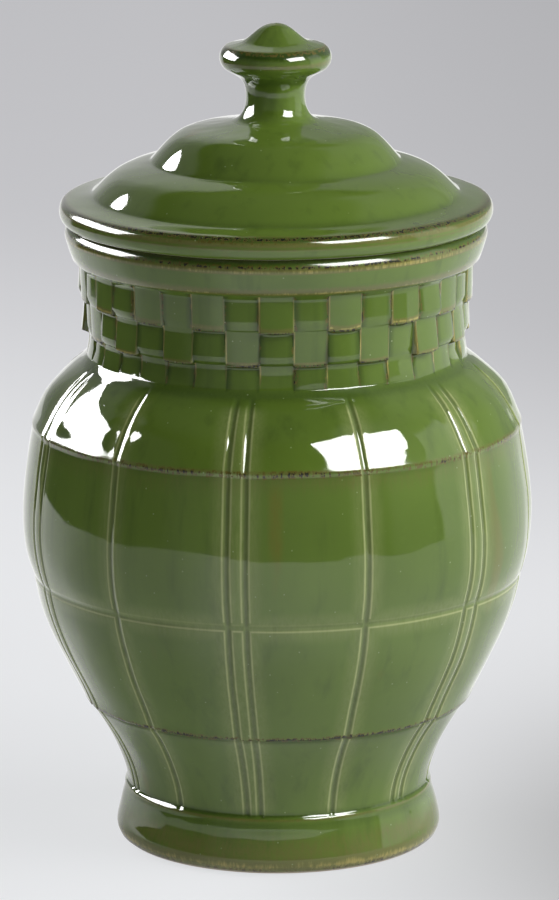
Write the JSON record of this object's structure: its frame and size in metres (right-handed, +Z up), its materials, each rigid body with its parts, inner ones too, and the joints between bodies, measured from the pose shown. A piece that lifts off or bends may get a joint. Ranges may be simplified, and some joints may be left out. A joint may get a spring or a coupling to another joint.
{
  "type": "biscuit jar",
  "caption": "Lidded stoneware biscuit jar: bellied body with incised lines and basket-weave neck, stepped dome lid lifted by a round knob.",
  "frame": {"origin": "centre of the foot ring, on the surface the jar stands on", "axes": "+Z up along the jar's turning axis, front towards -Y, +X to the right seen from the front"},
  "size_m": [0.1812, 0.1812, 0.2946],
  "materials": {
    "jar_glaze": "glossy translucent green glaze that breaks to olive and brown on edges, bare buff clay under the foot ring",
    "lid_glaze": "glossy translucent green glaze that breaks to olive and brown on edges, bare buff clay on the seat",
    "knob_glaze": "glossy translucent green glaze that breaks to olive and brown on edges"
  },
  "bodies": {
    "jar": {"jar_body": "jar_glaze"},
    "lid": {"lid": "lid_glaze", "knob": "knob_glaze"}
  },
  "joints": [
    {"name": "lid_lift", "type": "slide", "parent": "jar", "child": "lid", "axis": [0, 0, 1], "range_m": [0, 0.12]}
  ]
}
